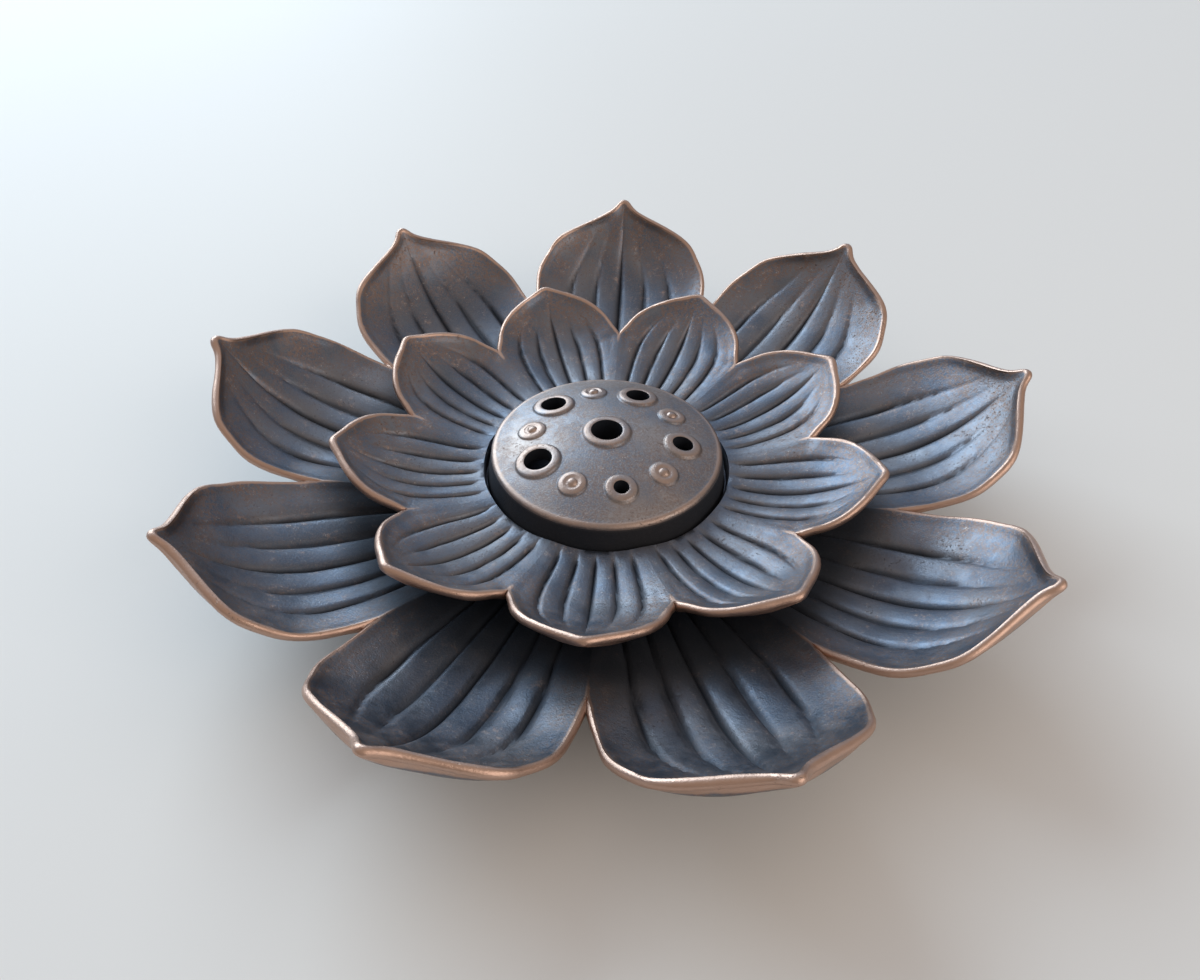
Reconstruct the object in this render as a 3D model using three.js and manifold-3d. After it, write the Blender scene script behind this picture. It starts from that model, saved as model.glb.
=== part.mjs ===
// Lotus-flower incense holder, about 107 mm across and 19 mm high, cast in antiqued copper-coloured zinc alloy.
// Two tiers of nine petals and a hollow seed pod are stacked on one axis. A screw from below passes through both
// tiers into the pod's post and clamps them, and a soft round pad closes the foot and covers the screw head.
// Incense sticks stand in the pod's six holes, and their ash falls on the petals.
// Units are millimetres. +Z is up, the origin is the middle of the pad's underside, and +Y points at an outer tip.
import * as THREE from 'three';
import { mergeGeometries, mergeVertices } from 'three/addons/utils/BufferGeometryUtils.js';
import Module from 'manifold-3d';

const wasm = await Module();
wasm.setup();

// The stack, from the table up
const petalCount = 9;
const padThickness = 0.8;
const padRadius = 16.2;
const padBevel = 0.2;
const footHeight = 2.7;
const footRadius = 17;
const footWall = 3.8;
const footBevel = 0.4;
const plateThickness = 1.5;
const seatThickness = 2;
const seatRadius = 17.6;
const seatMargin = 0.4;
const moatDepth = 1.6;
const tierTurn = 21;

const footFace = padThickness;
const plateBottom = footFace + footHeight;
const plateTop = plateBottom + plateThickness;
const seatTop = plateTop + seatThickness;

// Screw and washer
const screwRadius = 1.5;
const screwLength = 6;
const screwChamfer = 0.4;
const screwClearance = 0.2;
const threadClearance = 0.15;
const boreOverrun = 0.5;
const headRadius = 3.45;
const headHeight = 1.9;
const headEdge = 0.5;
const headCrown = 0.15;
const headShoulder = 0.35;
const washerThickness = 0.5;
const washerRadius = 3.6;
const driveWidth = 0.8;
const driveSpan = 3.2;
const driveDepth = 1.1;

const screwBore = screwRadius + screwClearance;
const screwSeat = plateBottom - washerThickness;
const screwEnd = screwSeat + screwLength;

// Seed pod
const podRadius = 14.6;
const podDraft = 0.7;
const podEdgeRound = 0.7;
const podApex = 13.9;
const podDomeRadius = 43;
const podWall = 1.4;
const podClearance = 0.4;
const moatBevel = 0.25;
const reliefDepth = 0.5;
const reliefMargin = 0.5;
const postRadius = 3.6;
const stickHoleRing = 9.55;
const stickHoleTurn = 22.5;
const centreHoleRadius = 2;
const ringHoleRadii = [1.55, 1.3, 0.95, 1.75, 1.65];
const holeLipWidth = 1.1;
const holeLipHeight = 0.4;
const holeLipEdge = 0.15;
const buttonRadius = 1.8;
const buttonHeight = 0.36;
const buttonEdge = 0.35;
const buttonDish = 0.12;
const buttonNubRadius = 0.6;
const buttonNubHeight = 0.22;
const dishMargin = 0.15;
const domeRooting = 0.5;
const ceilingFillet = 0.5;
const wallFillet = 1;
const moatRadius = podRadius + podDraft + podClearance;

// Petals. Every length is along the petal, from the flower's axis outward; heights are above the table.
const outerTier = {
  rootRadius: seatRadius + seatMargin,
  rootTop: plateTop,
  rootUnderRadius: footRadius,
  tipRadius: 52.6,
  tipTop: 19.1,
  floorSlope: 0.05,
  curlPower: 4.6,
  notchRadius: 33.8,
  cupDepth: 2.75,
  rootCup: 0,
  cupPower: 2.6,
  ridgeRound: 0.3,
  thickness: 1.5,
  edgeThickness: 1,
  rimHeight: 0.16,
  veinPitch: 0.32,
  veinDepth: 0.75,
  veinStart: 0.12,
  veinEnd: 0.84,
  middleVeinEnd: 0.98,
  veinEase: 9,
  joinedRows: 3,
  freeRows: 7,
  // share of the free length from notch to tip, share of the half width at the notch
  outline: [[0, 1], [0.24, 1.04], [0.45, 1.05], [0.61, 0.95], [0.73, 0.825], [0.83, 0.53], [0.915, 0.2], [1, 0]],
};
const innerTier = {
  rootRadius: moatRadius,
  rootTop: seatTop + moatDepth,
  rootUnderRadius: seatRadius,
  tipRadius: 33.4,
  tipTop: 15,
  floorSlope: -0.05,
  curlPower: 2.35,
  notchRadius: 24.6,
  cupDepth: 1.4,
  rootCup: 0.25,
  cupPower: 2.2,
  ridgeRound: 0.6,
  thickness: 1.4,
  edgeThickness: 1,
  rimHeight: 0.15,
  veinPitch: 0.35,
  veinDepth: 0.6,
  veinStart: 0.12,
  veinEnd: 0.82,
  middleVeinEnd: 0.92,
  veinEase: 5,
  joinedRows: 2,
  freeRows: 6,
  outline: [[0, 1], [0.235, 0.925], [0.45, 0.85], [0.63, 0.705], [0.785, 0.49], [0.91, 0.2], [1, 0]],
};
// Veins: their pitch and reach are shares of the petal's half width, their width a share of half the pitch, and
// a tier's ease is the length over which they smooth out the petal's outline
const veinsPerSide = 2;
const veinWidth = 0.34;
const veinFade = 0.42;
const veinReach = 0.9;
const easeSteps = 6;
const rimPlace = 0.92;
const edgePower = 2.2;
const edgeRound = 0.3;
const lineSamples = 48;

const roundSteps = 45;
const smallSteps = 16;

const toRadians = THREE.MathUtils.degToRad;
const lerp = THREE.MathUtils.lerp;
const smoothstep = THREE.MathUtils.smoothstep;


// Closed solids for joining and cutting
function solidOf(geometry) {
  const bare = geometry.clone();
  for (const name of Object.keys(bare.attributes)) {
    if (name !== 'position') bare.deleteAttribute(name);
  }
  const merged = mergeVertices(bare, 1e-4);
  const corners = merged.index.array;
  const triVerts = [];
  for (let i = 0; i < corners.length; i += 3) {
    const [a, b, c] = [corners[i], corners[i + 1], corners[i + 2]];
    if (a !== b && b !== c && c !== a) triVerts.push(a, b, c);
  }
  const mesh = new wasm.Mesh({
    numProp: 3,
    vertProperties: new Float32Array(merged.attributes.position.array),
    triVerts: new Uint32Array(triVerts),
  });
  return new wasm.Manifold(mesh);
}

function geometryOf(solid) {
  const mesh = solid.getMesh();
  const geometry = new THREE.BufferGeometry();
  geometry.setAttribute('position', new THREE.BufferAttribute(mesh.vertProperties.slice(), 3));
  geometry.setIndex(new THREE.BufferAttribute(mesh.triVerts.slice(), 1));
  geometry.computeVertexNormals();
  return geometry;
}

// A profile of [radius, height] points, turned about the vertical axis
function turned(profile, steps = roundSteps) {
  const points = profile.map(([r, z]) => new THREE.Vector2(r, z));
  return new THREE.LatheGeometry(points, steps).rotateX(Math.PI / 2);
}

function closed(profile) {
  return [...profile, profile[0]];
}

// The middle line of a petal: a gently sloping floor that curls up towards the tip
function petalLine(tier) {
  const run = tier.tipRadius - tier.rootRadius;
  const curl = tier.tipTop - tier.rootTop - tier.floorSlope * run;
  const points = Array.from({ length: lineSamples + 1 }, (_, i) => {
    const share = i / lineSamples;
    const height = tier.rootTop + tier.floorSlope * run * share + curl * share ** tier.curlPower;
    return new THREE.Vector2(tier.rootRadius + run * share, height);
  });
  const line = new THREE.SplineCurve(points);
  line.arcLengthDivisions = 4 * lineSamples;
  return line;
}

// Where along the middle line, as a share of its length, the petal reaches a distance from the flower's axis
function shareAtRadius(line, radius) {
  let low = 0;
  let high = 1;
  for (let i = 0; i < 40; i++) {
    const middle = (low + high) / 2;
    if (line.getPointAt(middle).x < radius) low = middle;
    else high = middle;
  }
  return (low + high) / 2;
}

// The rows of a petal from root to tip. Up to the notch its sides join its neighbours' and lie on the planes
// halfway between petals; past the notch its outline is free.
function petalRows(tier) {
  const line = petalLine(tier);
  const notchShare = shareAtRadius(line, tier.notchRadius);
  const notchHalfWidth = tier.notchRadius * Math.tan(Math.PI / petalCount);
  const outline = new THREE.SplineCurve(tier.outline.map(([x, y]) => new THREE.Vector2(x, y)));
  const rows = [];
  for (let j = 0; j <= tier.joinedRows; j++) {
    const joined = j / tier.joinedRows;
    const share = notchShare * joined;
    const radius = line.getPointAt(share).x;
    const halfWidth = radius * Math.tan(Math.PI / petalCount);
    const cup = tier.cupDepth * lerp(tier.rootCup, 1, smoothstep(joined, 0, 1));
    rows.push({ share, halfWidth, joined, free: 0, cup });
  }
  for (let j = 1; j <= tier.freeRows; j++) {
    const place = outline.getPoint(j / tier.freeRows);
    const free = Math.min(place.x, 1);
    const share = lerp(notchShare, 1, free);
    const cup = tier.cupDepth * (1 - free ** tier.cupPower);
    rows.push({ share, halfWidth: notchHalfWidth * Math.max(place.y, 0), joined: 1, free, cup });
  }
  const widthAt = (share) => {
    const next = rows.findIndex((row) => row.share >= share);
    if (next < 0) return 0;
    if (next === 0) return rows[0].halfWidth;
    const [before, after] = [rows[next - 1], rows[next]];
    return lerp(before.halfWidth, after.halfWidth, (share - before.share) / (after.share - before.share));
  };
  const ease = tier.veinEase / line.getLength();
  const steps = Array.from({ length: 2 * easeSteps + 1 }, (_, i) => (i / easeSteps - 1) * ease);
  const widestSpread = veinReach / ((veinsPerSide + veinWidth / 2) * tier.veinPitch);
  return rows.map((row) => {
    const along = line.getTangentAt(row.share);
    const eased = steps.reduce((sum, step) => sum + widthAt(row.share + step), 0) / steps.length;
    const veinSpread = row.halfWidth > 0 ? Math.min(eased / row.halfWidth, widestSpread) : 1;
    return { ...row, centre: line.getPointAt(row.share), along, veinSpread };
  });
}

// Columns across a petal, from edge to edge: the veins below, and the veins, their sides and the rims above
function petalColumns(tier) {
  const veins = Array.from({ length: 2 * veinsPerSide + 1 }, (_, i) => (i - veinsPerSide) * tier.veinPitch);
  const side = (veinWidth * tier.veinPitch) / 2;
  const top = veins.flatMap((place) => [place - side, place, place + side]);
  return { top: [-1, -rimPlace, ...top, rimPlace, 1], under: [-1, ...veins, 1] };
}

// Where a column crosses a row: veins keep to their eased lines, and the rim keeps to the outline
function columnPlace(column, row) {
  return Math.abs(column) < rimPlace ? column * row.veinSpread : column;
}

// How deep the veins cut the upper face: narrow grooves in shallow valleys, with round ribs between them
function veinCut(tier, row, across) {
  const place = Math.abs(across) / (tier.veinPitch * row.veinSpread);
  const fromVein = Math.min(Math.abs(place - Math.min(Math.round(place), veinsPerSide)) * 2, 1);
  const groove = Math.max(1 - fromVein / veinWidth, 0) ** 1.5;
  const end = place < 0.5 ? tier.middleVeinEnd : tier.veinEnd;
  const fade = smoothstep(row.share, 0, tier.veinStart) * (1 - smoothstep(row.share, end - veinFade, end));
  return tier.veinDepth * fade * (0.65 * groove + 0.35 * (1 - fromVein) ** 2);
}

// A point of a petal that lies along +X, on its upper face, or on its lower face, which rises towards the edge
function petalPoint(tier, row, across, isUnder) {
  const angle = across * (Math.PI / petalCount);
  const round = new THREE.Vector2(row.centre.x * Math.cos(angle), row.centre.x * Math.sin(angle));
  const straight = new THREE.Vector2(row.centre.x, across * row.halfWidth);
  const place = round.lerp(straight, row.joined);

  const spoon = Math.abs(across) ** edgePower;
  const ridge = lerp(spoon, (1 - Math.cos(Math.PI * across)) / 2, tier.ridgeRound);
  const lift = row.cup * lerp(ridge, spoon, smoothstep(row.free, 0, 0.3));
  const onRim = row.free === 1 || Math.abs(across) === 1;
  const rim = onRim ? tier.rimHeight * smoothstep(row.joined, 0.3, 1) : 0;
  const nearEdge = Math.max(Math.abs(across) ** 3, row.free ** 6);
  const thickness = lerp(tier.thickness, tier.edgeThickness, nearEdge * smoothstep(row.free, 0, 0.2));
  const offset = lift + (isUnder ? -thickness : rim - veinCut(tier, row, across));

  const tilt = smoothstep(row.free, 0, 0.25);
  const normal = new THREE.Vector2(-row.along.y * tilt, row.along.x).normalize();
  return new THREE.Vector3(place.x + normal.x * offset, place.y, row.centre.y + normal.y * offset);
}

// A tier as one closed body: petals with an upper face, a lower face and rounded free edges, carried by a hub.
// The hub's profile runs from the petals' upper face in to the bore and back out to their lower face.
function petalTier(tier, hubProfile) {
  const rows = petalRows(tier);
  const last = rows.length - 1;
  const columns = petalColumns(tier);
  const fan = (columns.top.length - 1) / (columns.under.length - 1);
  const corners = [];
  for (let k = 0; k < petalCount; k++) {
    const turn = new THREE.Matrix4().makeRotationZ((2 * Math.PI * k) / petalCount);
    const face = (...points) => {
      const turnedPoints = points.map((point) => point.clone().applyMatrix4(turn));
      for (let i = 1; i < points.length - 1; i++) {
        corners.push(turnedPoints[0], turnedPoints[i], turnedPoints[i + 1]);
      }
    };
    const ring = (radius, height) => columns.under.map((column) => {
      const angle = columnPlace(column, rows[0]) * (Math.PI / petalCount);
      return new THREE.Vector3(radius * Math.cos(angle), radius * Math.sin(angle), height);
    });
    const across = (row, places, isUnder) => places.map((column) => (
      petalPoint(tier, row, row === rows[last] ? 0 : columnPlace(column, row), isUnder)));
    const top = rows.map((row) => across(row, columns.top, false));
    const under = rows.map((row) => across(row, columns.under, true));
    under[0] = ring(tier.rootUnderRadius, tier.rootTop - tier.thickness);
    const hub = hubProfile.map(([radius, height]) => ring(radius, height));

    for (let j = 0; j < last; j++) {
      for (let i = 0; i < columns.top.length - 1; i++) {
        if (j + 1 === last) face(top[j][i], top[last][i], top[j][i + 1]);
        else face(top[j][i], top[j + 1][i], top[j + 1][i + 1], top[j][i + 1]);
      }
      for (let i = 0; i < columns.under.length - 1; i++) {
        if (j + 1 === last) face(under[j][i], under[j][i + 1], under[last][i]);
        else face(under[j][i], under[j][i + 1], under[j + 1][i + 1], under[j + 1][i]);
      }
    }
    for (let i = 0; i < columns.under.length - 1; i++) {
      face(hub[0][i], ...top[0].slice(i * fan, (i + 1) * fan + 1), hub[0][i + 1]);
      for (let m = 1; m < hub.length; m++) face(hub[m][i], hub[m - 1][i], hub[m - 1][i + 1], hub[m][i + 1]);
      face(under[0][i], hub.at(-1)[i], hub.at(-1)[i + 1], under[0][i + 1]);
    }
    for (const side of [-1, 1]) {
      const edge = rows.map((row, j) => {
        const upper = top[j].at(side > 0 ? -1 : 0);
        const lower = under[j].at(side > 0 ? -1 : 0);
        const inner = top[j].at(side > 0 ? -2 : 1);
        const middle = upper.clone().lerp(lower, 0.5);
        if (j === last) middle.add(new THREE.Vector3(row.along.x, 0, row.along.y).multiplyScalar(edgeRound));
        else if (j > tier.joinedRows) middle.add(upper.clone().sub(inner).setLength(edgeRound));
        return [upper, middle, lower];
      });
      for (let j = tier.joinedRows; j < last; j++) {
        for (let n = 0; n < 2; n++) {
          if (side > 0) face(edge[j][n], edge[j + 1][n], edge[j + 1][n + 1], edge[j][n + 1]);
          else face(edge[j][n], edge[j][n + 1], edge[j + 1][n + 1], edge[j + 1][n]);
        }
      }
    }
  }
  const geometry = new THREE.BufferGeometry().setFromPoints(corners);
  return geometry.rotateZ(Math.PI / 2);
}

// Outer tier: the flat plate with the screw's bore, and the cast foot ring below it
function outerPetalTier() {
  return petalTier(outerTier, [
    [screwBore, plateTop],
    [screwBore, plateBottom],
    [footRadius - footWall, plateBottom],
    [footRadius - footWall, footFace],
    [footRadius - footBevel, footFace],
    [footRadius, footFace + footBevel],
  ]);
}

// Inner tier: the round seat that the pod stands in, with a moat left around the pod and, under the pod's hollow,
// a shallow ring of relief between the faces that carry its wall and its post
function innerPetalTier() {
  const reliefOuter = podRadius + podDraft - podWall - reliefMargin;
  const reliefInner = postRadius + reliefMargin;
  return petalTier(innerTier, [
    [moatRadius - moatBevel, seatTop + moatDepth - moatBevel],
    [moatRadius - moatBevel, seatTop],
    [reliefOuter, seatTop],
    [reliefOuter, seatTop - reliefDepth],
    [reliefInner, seatTop - reliefDepth],
    [reliefInner, seatTop],
    [screwBore, seatTop],
    [screwBore, plateTop],
    [seatRadius - footBevel, plateTop],
    [seatRadius, plateTop + footBevel],
  ]);
}

// Height of the pod's dome above the table
function domeHeight(radius) {
  return podApex - podDomeRadius + Math.sqrt(podDomeRadius ** 2 - radius ** 2);
}

// Something turned about its own axis, stood upright on the dome at a place around the ring
function onDome(geometry, radius, turn) {
  const place = new THREE.Object3D();
  const around = toRadians(90 - turn);
  place.rotation.set(0, Math.asin(radius / podDomeRadius), around, 'ZYX');
  place.position.set(radius * Math.cos(around), radius * Math.sin(around), domeHeight(radius));
  place.updateMatrix();
  return geometry.applyMatrix4(place.matrix);
}

// The pod without its holes: dome, sloping wall, open hollow below, and the post that takes the screw
function podShell() {
  const edgeRadius = podRadius - podEdgeRound;
  const baseRadius = podRadius + podDraft;
  const ceilingRadius = podRadius - podWall;
  const profile = [
    [0, seatTop],
    [postRadius, seatTop],
    [postRadius, domeHeight(postRadius) - podWall - ceilingFillet],
    [postRadius + ceilingFillet, domeHeight(postRadius) - podWall],
    [ceilingRadius - wallFillet, domeHeight(ceilingRadius) - podWall],
    [ceilingRadius, domeHeight(ceilingRadius) - podWall - wallFillet],
    [baseRadius - podWall, seatTop],
    [baseRadius, seatTop],
  ];
  for (const share of [0, 0.4, 0.8]) {
    const angle = (share * Math.PI) / 2;
    profile.push([
      edgeRadius + podEdgeRound * Math.cos(angle),
      domeHeight(edgeRadius) - podEdgeRound * (1 - Math.sin(angle)),
    ]);
  }
  const domeSteps = 4;
  for (let i = domeSteps; i >= 0; i--) {
    const radius = (edgeRadius * i) / domeSteps;
    profile.push([radius, domeHeight(radius)]);
  }
  return solidOf(turned(profile));
}

// The raised lip around a stick hole
function holeLip(holeRadius) {
  const outer = holeRadius + holeLipWidth;
  return turned([
    [0, -domeRooting],
    [outer, -domeRooting],
    [outer, 0],
    [outer - holeLipEdge, holeLipHeight * 0.6],
    [holeRadius + holeLipWidth * 0.5, holeLipHeight],
    [0, holeLipHeight],
  ], smallSteps);
}

// A blind button: a low round boss with a small nub in its dished middle
function button() {
  return turned([
    [0, -domeRooting],
    [buttonRadius, -domeRooting],
    [buttonRadius, 0],
    [buttonRadius - buttonEdge, buttonHeight],
    [buttonNubRadius + dishMargin, buttonHeight - buttonDish],
    [buttonNubRadius * 0.7, buttonHeight + buttonNubHeight * 0.7],
    [0, buttonHeight + buttonNubHeight],
  ], smallSteps - 2);
}

function bore(radius, bottom, top) {
  return new THREE.CylinderGeometry(radius, radius, top - bottom, smallSteps)
    .rotateX(Math.PI / 2)
    .translate(0, 0, (top + bottom) / 2);
}

function seedPod() {
  const holeTop = podApex + 2 * holeLipHeight;
  const holeStep = 360 / ringHoleRadii.length;
  let pod = podShell();
  pod = pod.add(solidOf(onDome(holeLip(centreHoleRadius), 0, 0)));
  ringHoleRadii.forEach((radius, i) => {
    const turn = stickHoleTurn + i * holeStep;
    pod = pod.add(solidOf(onDome(holeLip(radius), stickHoleRing, turn)));
    pod = pod.add(solidOf(onDome(button(), stickHoleRing, turn + holeStep / 2)));
  });
  pod = pod.subtract(solidOf(bore(centreHoleRadius, screwEnd, holeTop)));
  pod = pod.subtract(solidOf(bore(screwRadius + threadClearance, plateTop, screwEnd + boreOverrun)));
  ringHoleRadii.forEach((radius, i) => {
    const around = toRadians(90 - stickHoleTurn - i * holeStep);
    const hole = bore(radius, domeHeight(stickHoleRing + radius) - 2 * podWall, holeTop);
    hole.translate(stickHoleRing * Math.cos(around), stickHoleRing * Math.sin(around), 0);
    pod = pod.subtract(solidOf(hole));
  });
  return geometryOf(pod);
}

// Low round-headed cross-recess screw, entered from below
function clampScrew() {
  const headBottom = screwSeat - headHeight;
  const body = turned([
    [0, headBottom],
    [headRadius * 0.55, headBottom + headCrown],
    [headRadius * 0.9, screwSeat - headEdge - headShoulder],
    [headRadius, screwSeat - headEdge],
    [headRadius, screwSeat],
    [screwRadius, screwSeat],
    [screwRadius, screwEnd - screwChamfer],
    [screwRadius - screwChamfer, screwEnd],
    [0, screwEnd],
  ], smallSteps + 4);
  let screw = solidOf(body);
  for (const quarter of [0, 1]) {
    const slot = new THREE.BoxGeometry(driveSpan, driveWidth, driveDepth * 2);
    slot.rotateZ((quarter * Math.PI) / 2).translate(0, 0, headBottom);
    screw = screw.subtract(solidOf(slot));
  }
  return geometryOf(screw);
}

function plainWasher() {
  return turned(closed([
    [screwBore, screwSeat],
    [washerRadius, screwSeat],
    [washerRadius, plateBottom],
    [screwBore, plateBottom],
  ]), smallSteps + 4);
}

function basePad() {
  return turned([
    [0, 0],
    [padRadius - padBevel, 0],
    [padRadius, padBevel],
    [padRadius, padThickness],
    [0, padThickness],
  ]);
}

const antiqueCopper = { color: 0x4a3a32, roughness: 0.45, metalness: 0.9 };
const plainSteel = { color: 0x9a9a98, roughness: 0.35, metalness: 1 };
const darkFoam = { color: 0x1d1c1b, roughness: 0.95, metalness: 0 };

function piece(name, geometry, finish) {
  const mesh = new THREE.Mesh(geometry, new THREE.MeshStandardMaterial(finish));
  mesh.name = name;
  return mesh;
}

const holder = new THREE.Group();
const innerPetals = piece('inner_petal_tier', innerPetalTier(), antiqueCopper);
innerPetals.rotation.z = -toRadians(tierTurn);
holder.add(
  piece('outer_petal_tier', outerPetalTier(), antiqueCopper),
  innerPetals,
  piece('seed_pod', seedPod(), antiqueCopper),
  piece('clamp_screw', clampScrew(), plainSteel),
  piece('plain_washer', plainWasher(), plainSteel),
  piece('base_pad', basePad(), darkFoam),
);

export default holder;
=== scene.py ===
import math

import bmesh
import bpy
import numpy as np
from mathutils import Matrix, Vector
from mathutils.geometry import delaunay_2d_cdt


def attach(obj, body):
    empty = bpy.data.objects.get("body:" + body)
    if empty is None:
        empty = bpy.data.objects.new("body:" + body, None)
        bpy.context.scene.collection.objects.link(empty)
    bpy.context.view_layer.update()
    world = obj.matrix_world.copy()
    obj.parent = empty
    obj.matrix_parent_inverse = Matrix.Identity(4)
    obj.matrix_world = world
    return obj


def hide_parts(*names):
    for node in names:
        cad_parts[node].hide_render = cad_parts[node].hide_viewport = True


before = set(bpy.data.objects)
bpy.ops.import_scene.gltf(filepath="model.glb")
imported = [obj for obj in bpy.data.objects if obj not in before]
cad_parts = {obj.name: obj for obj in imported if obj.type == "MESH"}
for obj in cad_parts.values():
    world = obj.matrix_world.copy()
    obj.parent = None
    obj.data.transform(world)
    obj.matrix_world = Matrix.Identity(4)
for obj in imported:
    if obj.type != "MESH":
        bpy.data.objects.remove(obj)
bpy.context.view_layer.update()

MM = 0.001
BODY = "root"

# Camera, as fitted to the photograph's petal tips, outlines and pod
PHOTO_WIDTH = 1200
PHOTO_CENTRE_X = 575.7
FOCAL_PIXELS = 944.8
SENSOR_WIDTH = 36
CAMERA_PLACE = (3.3, -91.7, 88.3)
CAMERA_HEADING = 4.5
CAMERA_ELEVATION = 42.6
CAMERA_ROLL = -0.2

# The stack, from the table up
PETAL_COUNT = 9
PAD_THICKNESS = 0.8
PAD_RADIUS = 16.2
PAD_BEVEL = 0.2
PAD_TOP_EDGE = 0.05
PAD_MIDDLE = 0.4
FOOT_HEIGHT = 2.7
FOOT_RADIUS = 17
FOOT_WALL = 3.8
FOOT_INNER_EDGE = 0.1
FOOT_OUTER_EDGE = 0.4
FOOT_EDGE_CUT = 0.12
FOOT_FILLET = 0.3
PLATE_THICKNESS = 1.5
SEAT_THICKNESS = 2
SEAT_RADIUS = 17.6
SEAT_EDGE = 0.4
SEAT_MARGIN = 0.4
MOAT_DEPTH = 1.6
TIER_TURN = 21
SCREW_BORE = 1.7
SCREW_END = 9
BORE_OVERRUN = 0.5

# Steps inwards and down round the moat's upper edge
MOAT_EDGE = ((0.07, 0.03), (0.18, 0.12), (0.25, 0.3))

FOOT_FACE = PAD_THICKNESS
PLATE_BOTTOM = FOOT_FACE + FOOT_HEIGHT
PLATE_TOP = PLATE_BOTTOM + PLATE_THICKNESS
SEAT_TOP = PLATE_TOP + SEAT_THICKNESS

# Seed pod
POD_RADIUS = 14.6
POD_DRAFT = 0.7
POD_EDGE_ROUND = 0.7
POD_BASE_EDGE = 0.1
POD_APEX = 13.9
POD_DOME_RADIUS = 43
POD_WALL = 1.4
POD_CLEARANCE = 0.4
CEILING_FILLET_WIDTH = 1
CEILING_FILLET_HEIGHT = 0.8
POST_RADIUS = 3.6
POST_BORE = 1.65
POST_EDGE = 0.2
STICK_HOLE_RING = 9.55
STICK_HOLE_TURN = 22.5
CENTRE_HOLE_RADIUS = 2
RING_HOLE_RADII = (1.55, 1.3, 0.95, 1.75, 1.65)
LIP_WIDTH = 1.1
LIP_HEIGHT = 0.4
LIP_EDGE = 0.85
BUTTON_RADIUS = 1.8
BUTTON_HEIGHT = 0.36
BUTTON_DISH = 0.12
DISH_RADII = (0.7, 1.15)
NUB_RADIUS = 0.6
NUB_HEIGHT = 0.22
RELIEF_DEPTH = 0.5
RELIEF_MARGIN = 0.5
EDGE_RADIUS = POD_RADIUS - POD_EDGE_ROUND
CEILING_RADIUS = POD_RADIUS - POD_WALL
MOAT_RADIUS = POD_RADIUS + POD_DRAFT + POD_CLEARANCE

# The pod's masks, with painted shade on its wall and in its hollow, and how far below its lip a hole
# turns dark with painted shade
POD_HANDLED = 0.3
WALL_SHADE = 1.5
HOLLOW_SHADE = 2
RING_HOLE_DARK = 0.1
CENTRE_HOLE_DARK = 0.15

# Petals: radii from the flower's axis and heights above the table. They follow the solids, with the
# outline and the veins drawn out a little further.
OUTER_TIER = {
    "root_radius": SEAT_RADIUS + SEAT_MARGIN,
    "root_top": PLATE_TOP,
    "root_under_radius": FOOT_RADIUS,
    "tip_radius": 52.6,
    "tip_top": 19.1,
    "floor_slope": 0.05,
    "curl_power": 4.6,
    "notch_radius": 33.8,
    "cup_depth": 2.75,
    "root_cup": 0,
    "cup_power": 2.6,
    "ridge_round": 0.3,
    "thickness": 1.5,
    "edge_thickness": 1.0,
    "tip_round": 0.5,
    "rim_height": 0.08,
    "rim_width": 1.2,
    "root_painted_shade": 1.5,
    "vein_ease": 9,
    "vein_pitch": 0.32,
    "vein_depth": 0.75,
    "vein_start": 0.12,
    "vein_end": 0.92,
    "middle_vein_end": 1,
    "joined_rows": 18,
    "free_rows": 52,
    "outline": ((0, 1), (0.24, 1.04), (0.45, 1.05), (0.61, 0.95), (0.73, 0.825), (0.83, 0.515),
                (0.915, 0.175), (1, 0)),
}
INNER_TIER = {
    "root_radius": MOAT_RADIUS,
    "root_top": SEAT_TOP + MOAT_DEPTH,
    "root_under_radius": SEAT_RADIUS,
    "tip_radius": 33.4,
    "tip_top": 15.0,
    "floor_slope": -0.05,
    "curl_power": 2.35,
    "notch_radius": 24.6,
    "cup_depth": 1.4,
    "root_cup": 0.25,
    "cup_power": 2.2,
    "ridge_round": 0.6,
    "thickness": 1.4,
    "edge_thickness": 1.0,
    "tip_round": 0.9,
    "rim_height": 0.08,
    "rim_width": 1.2,
    "root_painted_shade": 0,
    "vein_ease": 5,
    "vein_pitch": 0.35,
    "vein_depth": 0.6,
    "vein_start": 0.12,
    "vein_end": 0.85,
    "middle_vein_end": 0.95,
    "joined_rows": 16,
    "free_rows": 40,
    "outline": ((0, 1), (0.235, 0.925), (0.45, 0.85), (0.63, 0.705), (0.785, 0.49), (0.91, 0.2), (1, 0)),
}
VEINS_PER_SIDE = 2
VEIN_FADE = 0.42
VEIN_WIDTH = 0.35
VEIN_REACH = 0.9
GROOVE_SHARE = 0.6
GROOVE_POWER = 1.5
TROUGH_POWER = 1.8
EDGE_POWER = 2.2
EDGE_ROUND = 0.42
NARROWEST_HALF = 0.1

# The outline is eased between the notch and the tip, and fades in and out over a length
OUTLINE_EASE = 1.1
EASE_STEPS = 6
EASE_FADE = 2
TIP_KEPT = 0.6

# Distances from the edge to which a petal is worn bare, and to which fingers touch it
WORN_REACH = 0.6
UNDER_WORN_REACH = 1.2
TOUCH_REACH = 6

# Small unevenness of the petals, which begins beyond their roots
UNEVENNESS = 0.35
UNEVEN_SCALE = 170
EVEN_MARGIN = 1
EVEN_FADE = 4

# Meshes
LINE_STEPS = 600
ROW_POWER = 1.25
COLUMNS = 88
UNDER_STEP = 4
EDGE_STEPS = 5
ROUND_STEPS = 240
HOLE_STEPS = 64
LIP_RINGS = 11
APRON_RINGS = (0.08, 0.2, 0.4)
DOME_SPACING = 0.42
FEATURE_MARGIN = 0.55
PLAN_TOLERANCE = 1e-6
WELD_DISTANCE = 0.002
DOUBLE_DISTANCE = 0.001
CREASE_ANGLE = 38
POD_CREASE_ANGLE = 50

# Half the side of the studio's floor, in metres
FLOOR_REACH = 3.0


# Small sums

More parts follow.
